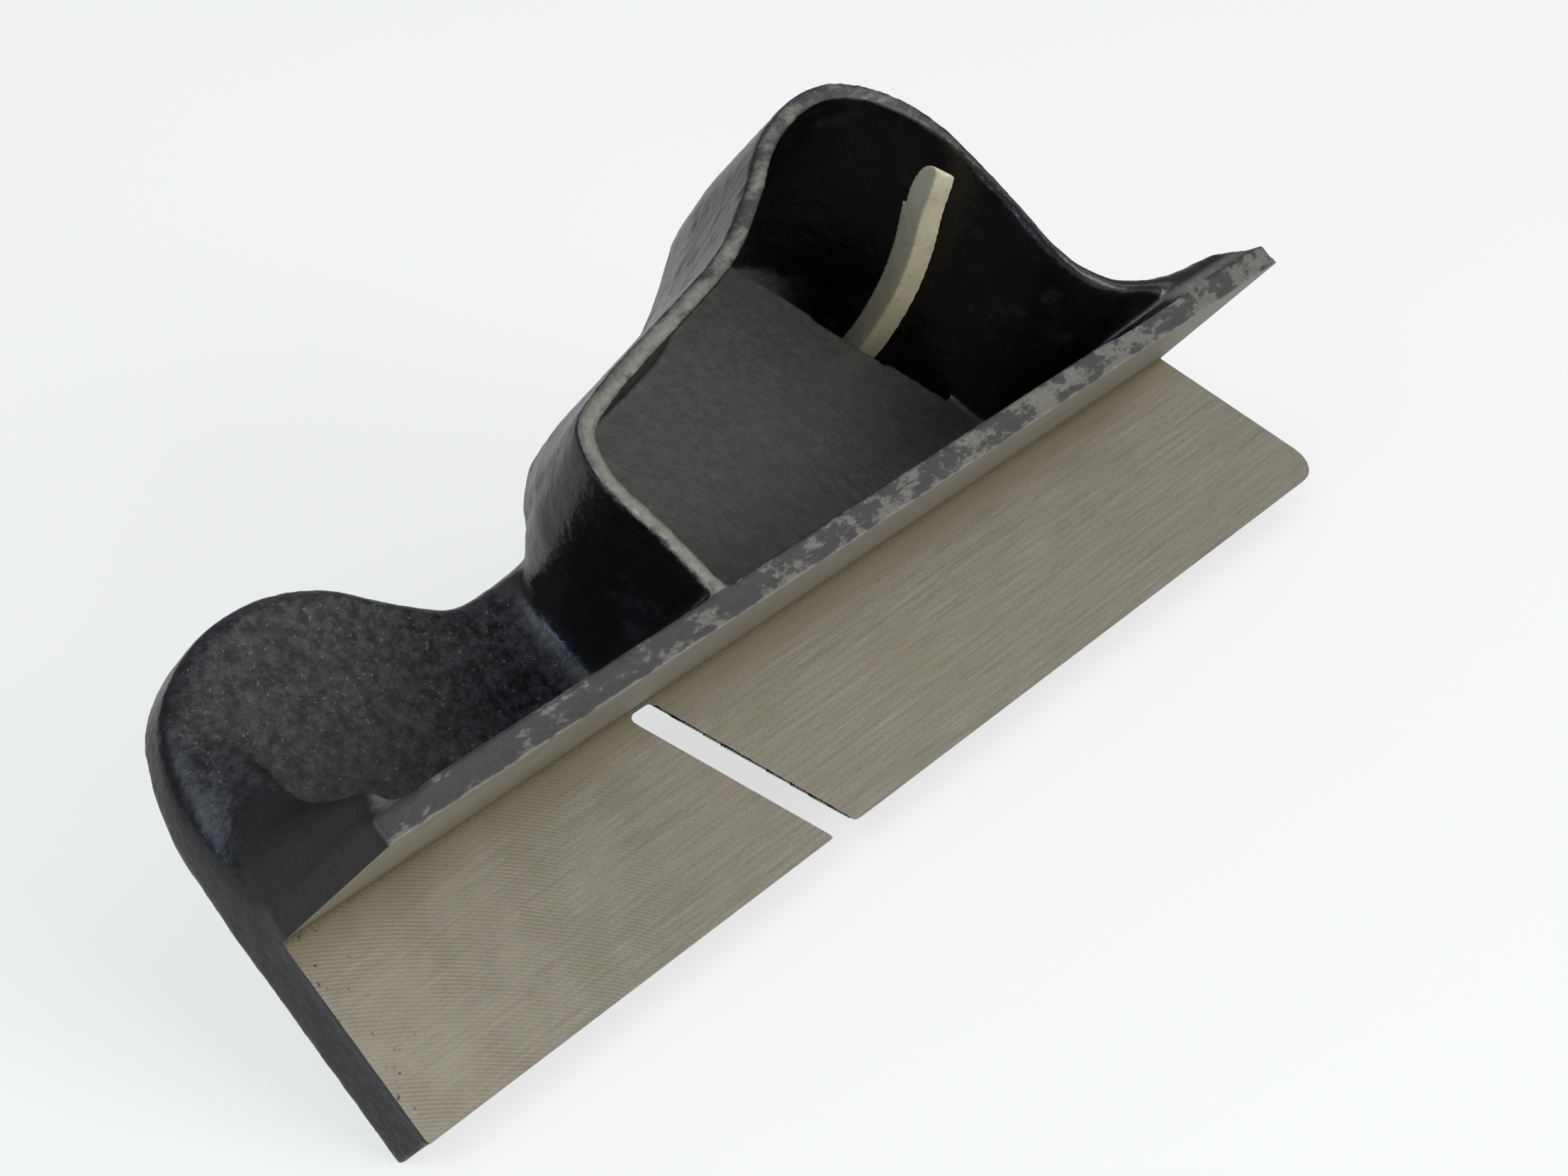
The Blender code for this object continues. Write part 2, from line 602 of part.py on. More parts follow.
def add_slotted_screw(name, parent, sizes, finish_name):
    """A screw with a driver slot across its head."""
    head_radius, head_high = sizes[2], sizes[4]
    screw = add_object(name, screw_body(*sizes), parent, finish_name)
    half = SCREW_SLOT_WIDTH / 2
    slot = block((-head_radius - OVERCUT, head_radius + OVERCUT), (-half, half),
                 (head_high - SCREW_SLOT_DEPTH, head_high + OVERCUT))
    combine(screw, add_object(f"{name}_slot_tool", slot, parent), "DIFFERENCE")


def build_lever_cap(bed):
    """The lever cap: a tapering arched plate with a keyhole and a boss for the thumb screw."""
    front, back = CAP_FRONT_WIDTH / 2, CAP_BACK_WIDTH / 2
    underside, top = cap_underside(), cap_top()
    nose = CAP_LIP_LENGTH
    outline = [(CAP_FRONT, -front), (CAP_FRONT, front), (CAP_BACK - back, back)]
    outline += [(CAP_BACK - back + back * math.sin(angle), back * math.cos(angle))
                for angle in (math.radians(30 * k) for k in range(1, 6))]
    outline += [(CAP_BACK - back, -back)]
    cap = add_object("lever_cap", prism(outline, underside - CAP_LIP_HEIGHT, top), bed, "nickel_plate")
    arch = block((CAP_FRONT + nose, CAP_BACK + OVERCUT), (-CAP_FRONT_WIDTH, CAP_FRONT_WIDTH),
                 (underside - OVERCUT, underside))
    combine(cap, add_object("cap_arch_tool", arch, bed), "DIFFERENCE")
    boss = prism(circle(THUMB_BOSS, (THUMB_AT, 0.0)), top - EMBED, thumb_boss_top())
    combine(cap, add_object("cap_boss_tool", boss, bed), "UNION")
    neck = 2 * (FULCRUM_SHANK + SLIDE_CLEARANCE)
    keyhole = prism(rounded_slot(FULCRUM_AT - CAP_TRAVEL, FULCRUM_AT + neck / 2, neck), underside - OVERCUT,
                    top + OVERCUT)
    opening = prism(circle(FULCRUM_HEAD + SLIDE_CLEARANCE, (FULCRUM_AT - CAP_TRAVEL, 0.0)),
                    underside - OVERCUT, top + OVERCUT)
    thumb_hole = prism(circle(THUMB_SHANK + THREAD_CLEARANCE, (THUMB_AT, 0.0)), underside - OVERCUT,
                       thumb_boss_top() + OVERCUT)
    for name, shape in (("keyhole_tool", keyhole), ("keyhole_opening_tool", opening),
                        ("thumb_hole_tool", thumb_hole)):
        combine(cap, add_object(name, shape, bed), "DIFFERENCE")


def build_fulcrum_screw(bed):
    """The screw that the lever cap hooks under."""
    place = add_empty("fulcrum_place", Matrix.Translation((FULCRUM_AT, 0.0, 0.0)), bed)
    head_low = cap_top() + SLIDE_CLEARANCE
    sizes = (FULCRUM_SHANK, -FULCRUM_DEPTH, FULCRUM_HEAD, head_low, head_low + FULCRUM_HEAD_HEIGHT,
             ROUND_STEPS)
    add_slotted_screw("cap_fulcrum_screw", place, sizes, "blued_steel")


def build_thumb_screw(bed):
    """The fluted thumb screw at the back of the lever cap, its point on the cutter."""
    axis = add_empty("thumb_axis", Matrix.Translation((THUMB_AT, 0.0, 0.0)), bed)
    count = THUMB_FLUTES * FLUTE_POINTS
    low, high = knob_range()
    point = BED_CLEARANCE + CUTTER_THICKNESS + SLIDE_CLEARANCE

    def ring(radius, height, depth=0.0):
        turn = 2 * math.pi / count
        row = []
        for k in range(count):
            out = radius - depth * (0.5 + 0.5 * math.cos(THUMB_FLUTES * k * turn))
            row.append((out * math.cos(k * turn), out * math.sin(k * turn), height))
        return row

    rim = THUMB_KNOB - THUMB_EDGE
    rings = [ring(THUMB_SHANK, point), ring(THUMB_SHANK, low), ring(rim, low),
             ring(THUMB_KNOB, low + THUMB_EDGE, THUMB_FLUTE_DEPTH),
             ring(THUMB_KNOB, high - THUMB_EDGE, THUMB_FLUTE_DEPTH), ring(rim, high)]
    add_object("cap_thumb_screw", loft(rings), axis, "brass")


# Adjusting lever

def level_to_bed(back, along, out):
    """A place measured level with the sole, from the mouth's middle, as a place in the cutter frame."""
    down = -(out + MOUTH_LIP)
    cosine, sine = math.cos(BED_ANGLE), math.sin(BED_ANGLE)
    return Vector((back * cosine + down * sine, along, down * cosine - back * sine))


def tail_sweep():
    """The lever's tail: a bar that bends up through the grip's hollow, turning as it rises."""
    pivot = Vector((PIVOT_AT, 0.0, 0.0))
    path = bend_through([level_to_bed(*place) - pivot for place in TAIL_PATH])
    rings = []
    for index, centre in enumerate(path):
        share = index / (len(path) - 1)
        rise = (path[min(index + 1, len(path) - 1)] - path[max(index - 1, 0)]).normalized()
        side = rise.cross(Vector((1.0, 0.0, 0.0))).normalized()
        turn = Matrix.Rotation(TAIL_TURN_FOOT + (TAIL_TURN_TIP - TAIL_TURN_FOOT) * share, 3, rise)
        across = turn @ side * TAIL_SIDE / 2
        deep = turn @ side.cross(rise) * (TAIL_DEPTH_FOOT + (TAIL_DEPTH_TIP - TAIL_DEPTH_FOOT) * share) / 2
        rings.append([centre + across + deep, centre - across + deep,
                      centre - across - deep, centre + across - deep])
    return loft(rings), tip_cut(path[-1], deep.normalized(), -across.normalized(), rise)


def tip_cut(end, broad, thick, high):
    """What is cut from the tail's end: it rounds towards its far edge and slants across its thickness."""
    half, slack = TAIL_DEPTH_TIP / 2, TAIL_SIDE
    curve = [(-half - EMBED, 0.0)]
    curve += [(-half + TAIL_DEPTH_TIP * math.sin(turn), -TAIL_TIP_ROUND * (1.0 - math.cos(turn)))
              for turn in (math.pi / 2 * step / TAIL_TIP_STEPS for step in range(1, TAIL_TIP_STEPS + 1))]
    curve += [(half + slack, -TAIL_TIP_ROUND), (half + slack, slack), (-half - EMBED, slack)]
    rings = []
    for out in (-TAIL_SIDE / 2 - slack, TAIL_SIDE / 2 + slack):
        drop = -TAIL_TIP_SLANT * (out / TAIL_SIDE + 0.5)
        rings.append([end + broad * x + thick * out + high * (z + drop) for x, z in curve])
    return loft(rings)


def build_adjusting_lever(bed):
    """The steel lever under the cutter: an eye on its pivot, an arm to the drive pin and a tail to push."""
    axis = add_empty("lever_axis", Matrix.Translation((PIVOT_AT, 0.0, 0.0)), bed)
    high = -BED_CLEARANCE
    low = high - LEVER_THICKNESS
    lever = add_object("adjusting_lever", prism(circle(LEVER_EYE), low, high), axis, "nickel_plate")
    arm_half = LEVER_ARM_WIDTH / 2
    inset = EMBED / 4
    arm = block((-arm_half, arm_half), (-DRIVE_PIN_OUT - 2 * DRIVE_PIN, 0.0), (low + inset, high - inset))
    tail_half = LEVER_TAIL_WIDTH / 2
    tail_end = level_to_bed(*TAIL_PATH[0]).x - PIVOT_AT + TAIL_DEPTH_FOOT / 2
    shank = block((0.0, tail_end), (-tail_half, tail_half), (low + inset, high - inset))
    tail, tail_tip = tail_sweep()
    for name, shape in (("lever_arm_tool", arm), ("lever_shank_tool", shank), ("lever_tail_tool", tail)):
        combine(lever, add_object(name, shape, axis), "UNION")
    combine(lever, add_object("lever_tip_tool", tail_tip, axis), "DIFFERENCE")
    pin_hole = prism(circle(DRIVE_PIN + THREAD_CLEARANCE, (0.0, -DRIVE_PIN_OUT), SMALL_ROUND_STEPS),
                     low - OVERCUT, high + OVERCUT)
    eye_hole = prism(circle(PIVOT_SHANK + THREAD_CLEARANCE, steps=SMALL_ROUND_STEPS),
                     low - OVERCUT, high + OVERCUT)
    for name, shape in (("pin_hole_tool", pin_hole), ("eye_hole_tool", eye_hole)):
        combine(lever, add_object(name, shape, axis), "DIFFERENCE")

    pin = prism(circle(DRIVE_PIN, (0.0, -DRIVE_PIN_OUT), SMALL_ROUND_STEPS), low,
                BED_CLEARANCE + CUTTER_GROOVE_DEPTH - SLIDE_CLEARANCE)
    add_object("lever_drive_pin", pin, axis, "blued_steel")


def build_lever_pivot(bed):
    """The lever's pivot screw and spring washer, inside the cutter's slot."""
    place = add_empty("pivot_place", Matrix.Translation((PIVOT_AT, 0.0, 0.0)), bed)
    washer_low = BED_CLEARANCE
    washer_high = washer_low + WASHER_THICKNESS
    disc = prism(circle(WASHER_RADIUS, steps=SMALL_ROUND_STEPS), washer_low, washer_high)
    washer = add_object("lever_spring_washer", disc, place, "tool_steel")
    hole = prism(circle(PIVOT_SHANK + THREAD_CLEARANCE, steps=SMALL_ROUND_STEPS), washer_low - OVERCUT,
                 washer_high + OVERCUT)
    combine(washer, add_object("washer_hole_tool", hole, place), "DIFFERENCE")
    head_low = washer_high + BED_CLEARANCE
    sizes = (PIVOT_SHANK, -PIVOT_DEPTH, PIVOT_HEAD, head_low, head_low + PIVOT_HEAD_HEIGHT,
             SMALL_ROUND_STEPS)
    add_slotted_screw("lever_pivot_screw", place, sizes, "blued_steel")


def stand_on_table(root):
    """Shift the tilted plane so that the middle of its footprint is the origin and it touches Z = 0."""
    bpy.context.view_layer.update()
    graph = bpy.context.evaluated_depsgraph_get()
    corners = []
    for item in bpy.data.objects:
        if item.type == "MESH" and not item.hide_render:
            mesh = item.evaluated_get(graph).to_mesh()
            corners += [item.matrix_world @ vertex.co for vertex in mesh.vertices]
    low = [min(corner[k] for corner in corners) for k in range(3)]
    high = [max(corner[k] for corner in corners) for k in range(3)]
    root.location -= Vector(((low[0] + high[0]) / 2, (low[1] + high[1]) / 2, low[2]))


def main():
    clear_scene()
    root = add_empty("plane_on_its_back", Matrix.Rotation(rest_tilt(), 4, "X"))
    bed = add_empty("cutter_frame", bed_matrix(), root)
    build_body(root, bed)
    build_cutter(bed)
    build_lever_cap(bed)
    build_fulcrum_screw(bed)
    build_thumb_screw(bed)
    build_adjusting_lever(bed)
    build_lever_pivot(bed)
    stand_on_table(root)


main()
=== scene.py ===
"""Looks of the edge trimming plane: an old japanned casting with a ground sole and fence.

The plane lies on its back, with the sole up.
"""
import functools
import math

import bpy
from mathutils import Matrix, Vector


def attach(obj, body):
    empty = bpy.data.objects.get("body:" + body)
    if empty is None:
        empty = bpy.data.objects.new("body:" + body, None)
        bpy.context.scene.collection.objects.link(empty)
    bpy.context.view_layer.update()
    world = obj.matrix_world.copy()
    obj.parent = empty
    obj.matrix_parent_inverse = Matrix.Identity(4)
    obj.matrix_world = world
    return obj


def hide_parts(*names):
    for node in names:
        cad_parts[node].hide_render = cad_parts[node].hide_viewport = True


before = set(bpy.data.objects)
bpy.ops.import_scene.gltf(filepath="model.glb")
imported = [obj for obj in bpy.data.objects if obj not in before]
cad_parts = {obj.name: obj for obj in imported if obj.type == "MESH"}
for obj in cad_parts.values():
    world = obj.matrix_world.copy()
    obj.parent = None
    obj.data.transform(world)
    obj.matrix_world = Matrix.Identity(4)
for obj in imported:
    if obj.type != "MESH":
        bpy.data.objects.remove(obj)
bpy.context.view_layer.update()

scene = bpy.context.scene
bpy.ops.object.select_all(action='DESELECT')

# The casting's own frame: X from toe to heel along the inner corner of sole and fence, Y towards
# the grip, and Z out of the sole. Places in it are in mm
MM = 0.001
CORNER_PLACE = (-0.081598, -0.010930, 0.020238)
CORNER_TILT = math.radians(40.78375148)
BODY_TO_WORLD = Matrix.Translation(CORNER_PLACE) @ Matrix.Rotation(CORNER_TILT, 4, 'X')
WORLD_TO_BODY = BODY_TO_WORLD.inverted()
OUT_OF_SOLE = BODY_TO_WORLD.to_3x3() @ Vector((0, 0, 1))
OUT_OF_FENCE = BODY_TO_WORLD.to_3x3() @ Vector((0, -1, 0))
FENCE_THICK = 3.2
MOUTH_FROM_TOE = 48.6
MOUTH_LENGTH = 3.8       # along the fence
MOUTH_LEAN = math.tan(math.radians(30.0))

# Settings of the casting's mesh
CASTING_VOXEL = 0.00038
CASTING_TRIANGLES = 185000
ALLOWANCE = 0.6          # metal that the grinder takes off, in mm
ALLOWANCE_ROOT = 0.3     # how deep the allowance is rooted in the casting, in mm
SAME_WAY = 0.999         # cosine above which a face counts as facing a direction
SAND_SIZE = 0.0016
SAND_DEPTH = 0.00016


# ---------------------------------------------------------------------------------------------
# Camera, fitted to the straight edges of sole, fence and mouth
# ---------------------------------------------------------------------------------------------
CAMERA_TURN = (59.06491, 0.02709, -52.00185)     # in degrees
bpy.ops.object.camera_add(location=(-0.235506, -0.190348, 0.197486),
                          rotation=[math.radians(turn) for turn in CAMERA_TURN])
camera = bpy.context.object
camera.data.sensor_width = 36.0
camera.data.lens = 71.791
camera.data.clip_start = 0.001
scene.camera = camera


# ---------------------------------------------------------------------------------------------
# Node and colour helpers
# ---------------------------------------------------------------------------------------------
def colour(hex_text):
    """Linear colour of an sRGB hex value."""
    channels = [int(hex_text[i:i + 2], 16) / 255 for i in (1, 3, 5)]
    linear = [c / 12.92 if c <= 0.04045 else ((c + 0.055) / 1.055) ** 2.4 for c in channels]
    return (*linear, 1.0)


def add_node(tree, kind, *values, inputs=None, output=0, **settings):
    """Adds a node with its settings and links, and returns one of its outputs. The values go to
    its inputs in order and the named inputs to theirs; an output socket among them is linked."""
    node = tree.nodes.new("ShaderNode" + kind)
    for name, value in settings.items():
        setattr(node, name, value)
    for name, value in [*enumerate(values), *(inputs or {}).items()]:
        if isinstance(value, bpy.types.NodeSocket):
            tree.links.new(value, node.inputs[name])
        else:
            node.inputs[name].default_value = value
    return node.outputs[output] if node.outputs else node


def new_material(name):
    """An empty material: returns it with add_node bound to its tree."""
    material = bpy.data.materials.new(name)
    material.use_nodes = True
    material.node_tree.nodes.clear()
    return material, functools.partial(add_node, material.node_tree)


# ---------------------------------------------------------------------------------------------
# Materials. Their patterns lie in the casting's frame, in mm
# ---------------------------------------------------------------------------------------------
BODY_MAPPING = {"Location": CORNER_PLACE, "Rotation": (CORNER_TILT, 0, 0), "Scale": (MM, MM, MM)}
COLOURS = {"data_type": 'RGBA', "output": 2}     # a Mix node that mixes its inputs 6 and 7
SMOOTH = {"interpolation_type": 'SMOOTHSTEP'}
WAVE_UNIT = 0.314        # a wave texture of scale 1 repeats after this many units
WHEEL_PITCH = 0.42       # from one mark of the grinding wheel to the next


def japanned_iron():
    """Cast iron dipped in black japan and baked: a glossy, near black varnish over the lumps of
    the moulding sand. It is dull and speckled with pinholes on the level faces, and worn to grey
    iron along the rims."""
    material, add = new_material("black_japan_on_sand_cast_iron")
    place = add("TexCoord", output="Object")
    body = add("Mapping", inputs={"Vector": place, **BODY_MAPPING}, vector_type='TEXTURE')
    along = add("SeparateXYZ", body, output="X")
    across = add("SeparateXYZ", body, output="Y")
    out = add("SeparateXYZ", body, output="Z")
    up = add("VectorMath", add("TexCoord", output="Normal"), OUT_OF_SOLE,
             operation='DOT_PRODUCT', output="Value")

    # Where the finishes lie
    rim = add("Math", add("MapRange", up, 0.30, 0.80, **SMOOTH),
              add("MapRange", out, 15.0, 17.0, **SMOOTH), operation='MULTIPLY')
    off_fence = add("MapRange", across, 3.2, 4.4, **SMOOTH)
    level = add("Math", add("MapRange", up, 0.40, 0.95, **SMOOTH),
                add("MapRange", out, 12.0, 6.0, **SMOOTH), operation='MULTIPLY')
    rest = add("MapRange", along, 50.0, 44.0, **SMOOTH)
    web = add("Math", add("MapRange", along, 9.0, 6.5, **SMOOTH),
              add("MapRange", across, 13.0, 8.0, **SMOOTH), operation='MULTIPLY')
    web = add("Math", web, add("MapRange", out, 0.2, 1.5, **SMOOTH), operation='MULTIPLY')

    # Varnish: brownish where it is thin, over lumps of about 3 mm and sand grains of about 0.7 mm
    lumps = add("TexNoise", inputs={"Vector": body, "Scale": 0.35, "Detail": 2.0})
    grains = add("TexNoise", inputs={"Vector": body, "Scale": 1.4, "Detail": 4.0,
                                     "Roughness": 0.6})
    gloss = add("Mix", inputs={0: lumps, 6: colour("#08080a"), 7: colour("#1a1717")}, **COLOURS)
    dust = add("TexNoise", inputs={"Vector": body, "Scale": 0.11, "Detail": 6.0,
                                   "Roughness": 0.65})
    dust = add("MapRange", dust, 0.54, 0.72, 0.0, 0.5, **SMOOTH)
    gloss = add("Mix", inputs={0: dust, 6: gloss, 7: colour("#323438")}, **COLOURS)

    # Rough brown varnish on the web at the toe
    web_tone = add("Mix", inputs={0: add("MapRange", grains, 0.40, 0.68), 6: colour("#070606"),
                                  7: colour("#261a12")}, **COLOURS)
    gloss = add("Mix", inputs={0: web, 6: gloss, 7: web_tone}, **COLOURS)

    # Level faces: mottled dull grey in spots of 0.5 to 2 mm, and pinholes of about 0.4 mm that
    # show pale
    clouds = add("TexNoise", inputs={"Vector": body, "Scale": 0.80, "Detail": 8.0,
                                     "Roughness": 0.78})
    clouds = add("MapRange", clouds, 0.42, 0.64)
    rest_tone = add("Mix", inputs={0: clouds, 6: colour("#0b0c0e"), 7: colour("#484a4e")},
                    **COLOURS)
    plate_tone = add("Mix", inputs={0: clouds, 6: colour("#484949"), 7: colour("#585857")},
                     **COLOURS)
    dull = add("Mix", inputs={0: rest, 6: plate_tone, 7: rest_tone}, **COLOURS)
    pinholes = add("TexNoise", inputs={"Vector": body, "Scale": 2.0, "Detail": 3.0,
                                       "Roughness": 0.75})
    pinholes = add("Math", clouds, 0.05, pinholes, operation='MULTIPLY_ADD')
    pinholes = add("MapRange", pinholes, 0.65, 0.70)
    pinholes = add("Math", pinholes, add("MapRange", rest, 0.0, 1.0, 0.10, 0.60),
                   operation='MULTIPLY')
    dull = add("Mix", inputs={0: pinholes, 6: dull, 7: colour("#a39e90")}, **COLOURS)
    varnish = add("Mix", inputs={0: level, 6: gloss, 7: dull}, **COLOURS)

    # Rims: grey, with varnish left in patches drawn out along the fence, and bare edges 0.5 mm
    # wide. The grip's rim is barest at the nose and keeps its varnish at the heel
    drawn_out = add("Mapping", inputs={"Vector": body, "Scale": (0.22, 0.45, 0.45)})
    patches = add("TexNoise", inputs={"Vector": drawn_out, "Scale": 1.0, "Detail": 7.0,
                                      "Roughness": 0.70})
    edge_way = add("Math", add("Math", across, FENCE_THICK / 2, operation='SUBTRACT'),
                   operation='ABSOLUTE')
    ragged = add("Math", patches, 1.3, edge_way, operation='MULTIPLY_ADD')
    heelward = add("MapRange", along, 30.0, 80.0, 0.0, 0.09, **SMOOTH)
    worn = add("Math", patches, heelward, operation='ADD')
    fence_bare = add("Math", add("MapRange", ragged, 1.98, 2.20),
                     add("MapRange", worn, 0.56, 0.61, 0.0, 0.7), operation='MAXIMUM')
    grip_bare = add("Math", up, 0.30, patches, operation='MULTIPLY_ADD')
    nose = add("MapRange", along, 80.0, 55.0, 0.0, 0.12, **SMOOTH)
    grip_bare = add("MapRange", add("Math", grip_bare, nose, operation='ADD'), 0.74, 0.90)
    heel = add("MapRange", along, 112.0, 122.0, 1.0, 0.0, **SMOOTH)
    grip_bare = add("Math", grip_bare, heel, operation='MULTIPLY')
    bare = add("Mix", inputs={0: off_fence, 2: fence_bare, 3: grip_bare})
    bare = add("Math", bare, rim, operation='MULTIPLY')
    rim_dull = add("Math", rim, add("Mix", inputs={0: off_fence, 2: 1.0, 3: heel}),
                   operation='MULTIPLY')
    rim_tone = add("Mix", inputs={0: patches, 6: colour("#2c2d30"), 7: colour("#464647")},
                   **COLOURS)
    varnish = add("Mix", inputs={0: rim_dull, 6: varnish, 7: rim_tone}, **COLOURS)
    iron = add("Mix", inputs={0: grains, 6: colour("#696863"), 7: colour("#9c9b95")}, **COLOURS)

    rough = add("Math", grains, 0.16, 0.14, operation='MULTIPLY_ADD')
    rough = add("Math", dust, 0.5, rough, operation='MULTIPLY_ADD')
    rough = add("Mix", inputs={0: web, 2: rough, 3: 0.58})
    level_rough = add("Math", grains, 0.25, 0.36, operation='MULTIPLY_ADD')
    rough = add("Mix", inputs={0: level, 2: rough, 3: level_rough})
    rough = add("Mix", inputs={0: rim_dull, 2: rough, 3: 0.46})
    height = add("Math", lumps, 1.6, grains, operation='MULTIPLY_ADD')
    height = add("Math", pinholes, -0.7, height, operation='MULTIPLY_ADD')
    bump = add("Bump", inputs={"Height": height, "Strength": 0.40, "Distance": 0.00018})
    shader = add("BsdfPrincipled", inputs={
        "Base Color": add("Mix", inputs={0: bare, 6: varnish, 7: iron}, **COLOURS),
        "Metallic": add("Math", bare, 0.6, operation='MULTIPLY'),
        "Roughness": rough, "Normal": bump, "IOR": 1.52})
    add("OutputMaterial", shader)
    return material


def ground_iron():
    """Grey cast iron, ground flat: a dull, warm grey metal with faint arcs from the grinding
    wheel, fine scratches from work, a brown darkening near the inner corner that is partly dirt
    and partly painted shade of the corner, and rust along it that a rag doesn't reach."""
    material, add = new_material("ground_grey_cast_iron")
    place = add("TexCoord", output="Object")
    body = add("Mapping", inputs={"Vector": place, **BODY_MAPPING}, vector_type='TEXTURE')
    along = add("SeparateXYZ", body, output="X")
    across = add("SeparateXYZ", body, output="Y")
    out = add("SeparateXYZ", body, output="Z")

    # Wheel marks in arcs of about 120 mm radius, clearest on the toe half
    sweep = add("Mapping", inputs={"Vector": body, "Location": (52.0, 116.0, 0.0)})
    arcs = add("TexWave", inputs={"Vector": sweep, "Scale": WAVE_UNIT / WHEEL_PITCH,
                                  "Distortion": 3.0, "Detail": 3.0, "Detail Scale": 0.25},
               output="Fac", wave_type='RINGS', rings_direction='Z')
    faded = add("TexNoise", inputs={"Vector": body, "Scale": 0.10, "Detail": 4.0,
                                    "Roughness": 0.6})
    toe_half = add("MapRange", along, 58.0, 30.0, 0.25, 1.0, **SMOOTH)
    clear = add("Math", toe_half, add("MapRange", faded, 0.35, 0.60), operation='MULTIPLY')
    arcs = add("Math", arcs, clear, operation='MULTIPLY')

    # Scratches of about 0.4 mm, drawn along the fence and along the mouth, and a fine grit
    push = add("Mapping", inputs={"Vector": body, "Scale": (0.06, 2.4, 1.0)})
    push = add("TexNoise", inputs={"Vector": push, "Scale": 1.0, "Detail": 4.0,
                                   "Roughness": 0.7})
    wipe = add("Mapping", inputs={"Vector": body, "Rotation": (0, 0, math.radians(-52)),
                                  "Scale": (0.09, 2.0, 1.0)})
    wipe = add("TexNoise", inputs={"Vector": wipe, "Scale": 1.0, "Detail": 4.0,
                                   "Roughness": 0.7})
    grit = add("TexNoise", inputs={"Vector": body, "Scale": 2.4, "Detail": 3.0,
                                   "Roughness": 0.7})
    scratches = add("Math", add("Math", push, wipe, operation='ADD'), grit, operation='ADD')

    # Tone: paler towards the toe, darker in the wheel marks, and warm where it has faded
    tone = add("Mix", inputs={0: add("MapRange", scratches, 1.1, 1.9), 6: colour("#757268"),
                              7: colour("#9d9a8d")}, **COLOURS)
    tone = add("Mix", inputs={0: add("MapRange", along, 42.0, 0.0, 0.0, 0.35), 6: tone,
                              7: colour("#b0ab9b")}, **COLOURS)
    tone = add("Mix", inputs={0: add("Math", arcs, 0.42, operation='MULTIPLY'), 6: tone,
                              7: colour("#5c5a50")}, **COLOURS)
    tone = add("Mix", inputs={0: add("MapRange", faded, 0.52, 0.72, 0.0, 0.4), 6: tone,
                              7: colour("#85816f")}, **COLOURS)

    # Dark spots of about 0.8 mm, most of them near the toe
    spots = add("TexNoise", inputs={"Vector": body, "Scale": 0.75, "Detail": 4.0,
                                    "Roughness": 0.72})
    spots = add("Math", spots, add("MapRange", along, 9.0, 0.0, 0.0, 0.10, **SMOOTH),
                operation='ADD')
    spots = add("MapRange", spots, 0.70, 0.74, 0.0, 0.6)
    tone = add("Mix", inputs={0: spots, 6: tone, 7: colour("#433b31")}, **COLOURS)

    # A yellow-brown darkening within about 5 mm of the corner, partly dirt and partly painted
    # shade of the concave corner, and a thin line of rust along it
    corner_way = add("Math", add("Math", across, -1.0, operation='MULTIPLY'), out,
                     operation='MAXIMUM')
    stain = add("MapRange", corner_way, 5.0, 0.0, 0.0, 1.0, **SMOOTH)
    stain = add("Math", stain, add("MapRange", scratches, 1.1, 1.9, 0.35, 0.85),
                operation='MULTIPLY')
    # Mixes in the corner darkening: painted shade of the corner together with dirt
    tone = add("Mix", inputs={0: stain, 6: tone, 7: colour("#756a4e")}, **COLOURS)
    rust = add("Math", add("MapRange", corner_way, 1.1, 0.0, 0.0, 0.45, **SMOOTH), spots,
               operation='ADD')
    rust = add("Math", rust, add("MapRange", grit, 0.35, 0.65, 0.4, 1.5), operation='MULTIPLY')
    rust = add("Math", rust, add("MapRange", corner_way, 0.30, 0.05, 0.0, 0.6),
               operation='MAXIMUM')
    tone = add("Mix", inputs={0: rust, 6: tone, 7: colour("#42372a")}, **COLOURS)

    rough = add("Math", grit, 0.16, 0.42, operation='MULTIPLY_ADD')
    rough = add("Math", rust, 0.25, rough, operation='MULTIPLY_ADD')
    metallic = add("MapRange", rust, 0.0, 1.0, 0.65, 0.15)
    height = add("Math", scratches, 0.5, arcs, operation='MULTIPLY_ADD')
    bump = add("Bump", inputs={"Height": height, "Strength": 0.16, "Distance": 0.00003})
    shader = add("BsdfPrincipled", inputs={"Base Color": tone, "Metallic": metallic,
                                           "Roughness": rough, "Normal": bump})
    add("OutputMaterial", shader)
    return material


